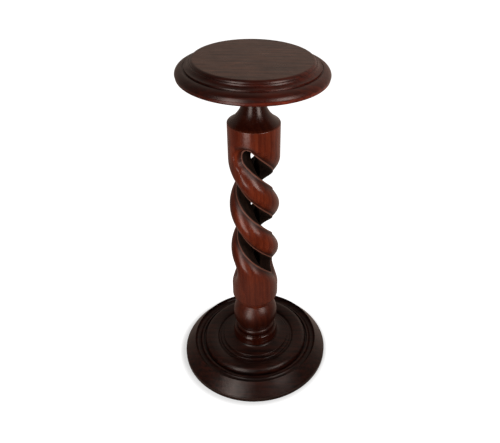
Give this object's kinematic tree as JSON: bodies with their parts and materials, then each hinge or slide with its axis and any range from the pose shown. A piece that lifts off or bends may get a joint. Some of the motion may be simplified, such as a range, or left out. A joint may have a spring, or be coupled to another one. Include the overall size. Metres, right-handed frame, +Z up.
{
  "type": "plant stand with an open barley-twist column",
  "caption": "Polished mahogany plant stand: a moulded round top on an open, left-handed double barley-twist column with turned ends, over a moulded round base.",
  "frame": {"origin": "middle of the underside of the base, on the floor", "axes": "+Z up along the column's axis; -Y is the side that the picture shows"},
  "size_m": [0.35, 0.35, 0.7501],
  "materials": {
    "top_wood": "satin polish, red-brown with a greyish bloom on the face",
    "column_wood": "polished, warm red-brown, dark in the slots",
    "base_wood": "satin polish, very dark brown"
  },
  "bodies": {
    "root": {"top": "top_wood", "column": "column_wood", "base": "base_wood"}
  },
  "joints": []
}
